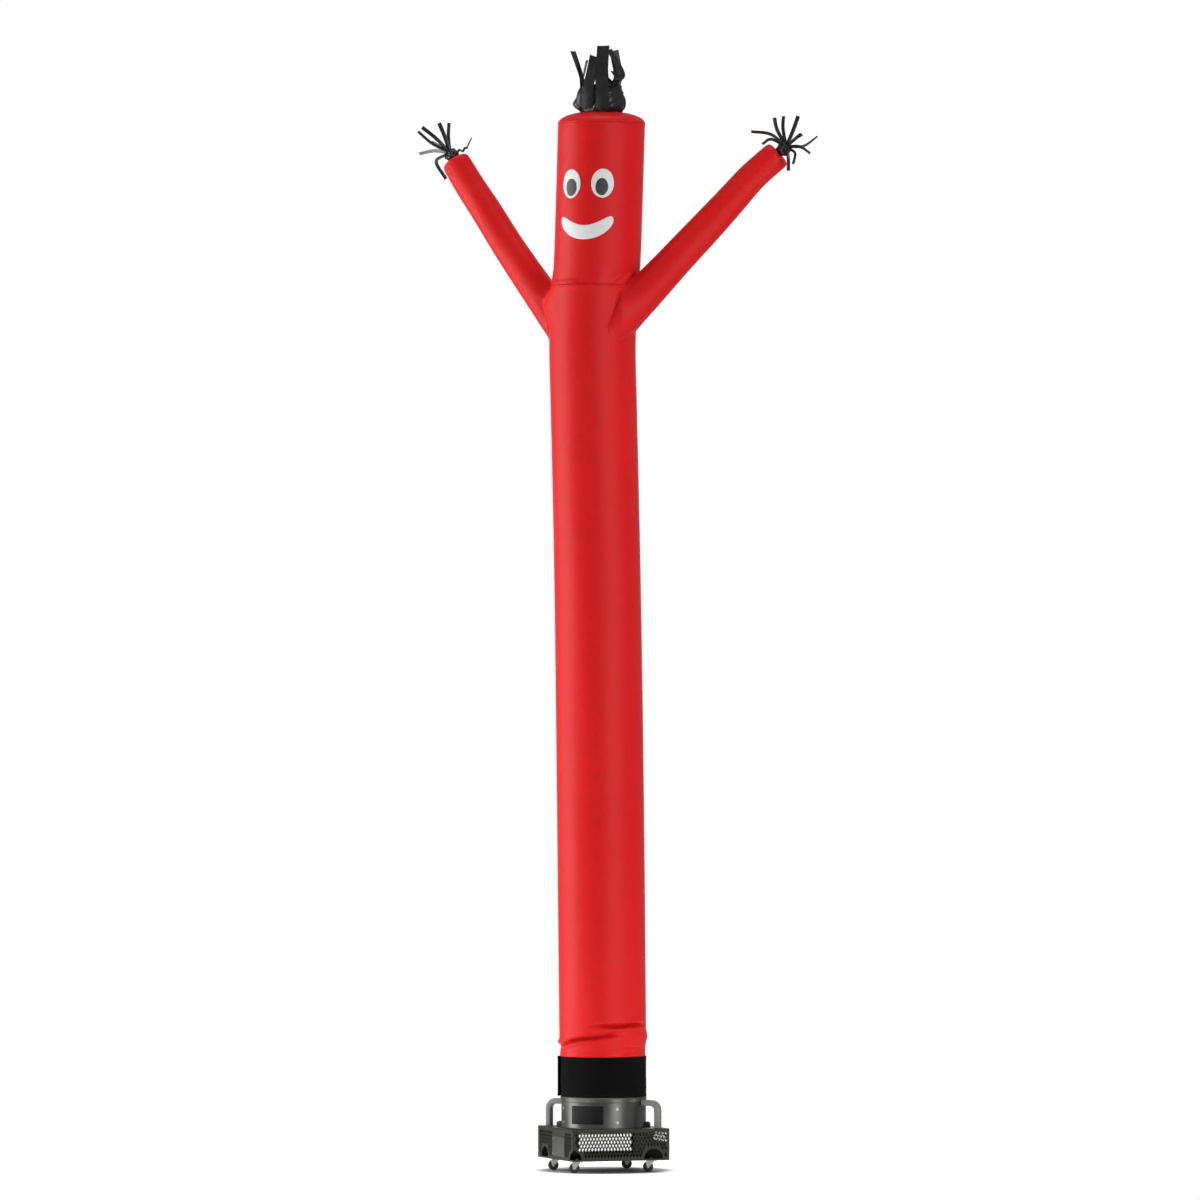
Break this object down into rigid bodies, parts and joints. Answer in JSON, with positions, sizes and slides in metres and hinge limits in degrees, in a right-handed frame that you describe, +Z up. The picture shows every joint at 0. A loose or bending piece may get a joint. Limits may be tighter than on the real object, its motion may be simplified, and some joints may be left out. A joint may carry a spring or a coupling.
{
  "type": "inflatable air dancer with fan blower",
  "caption": "Tall inflated red fabric tube figure with raised arms, a smiling face and black streamers, sleeved onto a perforated fan blower on swivel casters.",
  "frame": {"origin": "on the floor under the middle of the blower, near the middle of the whole figure's box", "axes": "+Z up along the inflated tube; -Y is the side the face looks to; +X is the viewer's right when facing it"},
  "size_m": [2.2571, 0.7612, 5.9835],
  "materials": {
    "red_cloth": "satin",
    "black_cloth": "satin",
    "sleeve_cloth": "matte",
    "white_cloth": "satin",
    "dark_patch": "satin",
    "grey_paint": "satin",
    "dark_paint": "satin",
    "bare_plate": "matte",
    "zinc": "satin",
    "black_rubber": "matte"
  },
  "bodies": {
    "root": {"body_tube": "red_cloth", "head_tube": "red_cloth", "head_cap": "red_cloth", "arm_left": "red_cloth", "arm_right": "red_cloth", "base_sleeve": "sleeve_cloth", "hair_tassel": "black_cloth", "hand_tassel_left": "black_cloth", "hand_tassel_right": "black_cloth", "eye_white_left": "white_cloth", "eye_white_right": "white_cloth", "pupil_left": "dark_patch", "pupil_right": "dark_patch", "smile": "white_cloth", "drum": "grey_paint", "drum_ring": "grey_paint", "label_plate": "bare_plate", "drum_bolt_1": "zinc", "drum_bolt_2": "zinc", "drum_bolt_3": "zinc", "drum_bolt_4": "zinc", "drum_bolt_5": "zinc", "drum_bolt_6": "zinc", "drum_bolt_7": "zinc", "drum_bolt_8": "zinc", "bracket_left": "grey_paint", "bracket_right": "grey_paint", "handle_left": "grey_paint", "handle_right": "grey_paint", "base_top": "dark_paint", "base_frame": "dark_paint", "panel_front": "dark_paint", "panel_back": "dark_paint", "panel_left": "dark_paint", "panel_right": "dark_paint", "cover_plate": "grey_paint", "cover_screw_1": "zinc", "cover_screw_2": "zinc", "caster_stem_front_left": "zinc", "caster_stem_front_right": "zinc", "caster_stem_back_left": "zinc", "caster_stem_back_right": "zinc"},
    "fork_front_left": {"caster_fork_front_left": "zinc"},
    "fork_front_right": {"caster_fork_front_right": "zinc"},
    "fork_back_left": {"caster_fork_back_left": "zinc"},
    "fork_back_right": {"caster_fork_back_right": "zinc"},
    "roller_front_left": {"caster_wheel_front_left": "black_rubber"},
    "roller_front_right": {"caster_wheel_front_right": "black_rubber"},
    "roller_back_left": {"caster_wheel_back_left": "black_rubber"},
    "roller_back_right": {"caster_wheel_back_right": "black_rubber"}
  },
  "joints": [
    {"name": "swivel_front_left", "type": "hinge", "parent": "root", "child": "fork_front_left", "pos_m": [-0.07129, -0.25575, 0.0612], "axis": [0, 0, 1], "continuous": true},
    {"name": "swivel_front_right", "type": "hinge", "parent": "root", "child": "fork_front_right", "pos_m": [0.26526, -0.01123, 0.0612], "axis": [0, 0, 1], "continuous": true},
    {"name": "swivel_back_left", "type": "hinge", "parent": "root", "child": "fork_back_left", "pos_m": [-0.26526, 0.01123, 0.0612], "axis": [0, 0, 1], "continuous": true},
    {"name": "swivel_back_right", "type": "hinge", "parent": "root", "child": "fork_back_right", "pos_m": [0.07129, 0.25575, 0.0612], "axis": [0, 0, 1], "continuous": true},
    {"name": "roll_front_left", "type": "hinge", "parent": "fork_front_left", "child": "roller_front_left", "pos_m": [-0.08571, -0.25988, 0.02807], "axis": [0.2756, -0.9613, 0], "continuous": true},
    {"name": "roll_front_right", "type": "hinge", "parent": "fork_front_right", "child": "roller_front_right", "pos_m": [0.25084, -0.01536, 0.02807], "axis": [0.2756, -0.9613, 0], "continuous": true},
    {"name": "roll_back_left", "type": "hinge", "parent": "fork_back_left", "child": "roller_back_left", "pos_m": [-0.27968, 0.00709, 0.02807], "axis": [0.2756, -0.9613, 0], "continuous": true},
    {"name": "roll_back_right", "type": "hinge", "parent": "fork_back_right", "child": "roller_back_right", "pos_m": [0.05687, 0.25161, 0.02807], "axis": [0.2756, -0.9613, 0], "continuous": true}
  ]
}
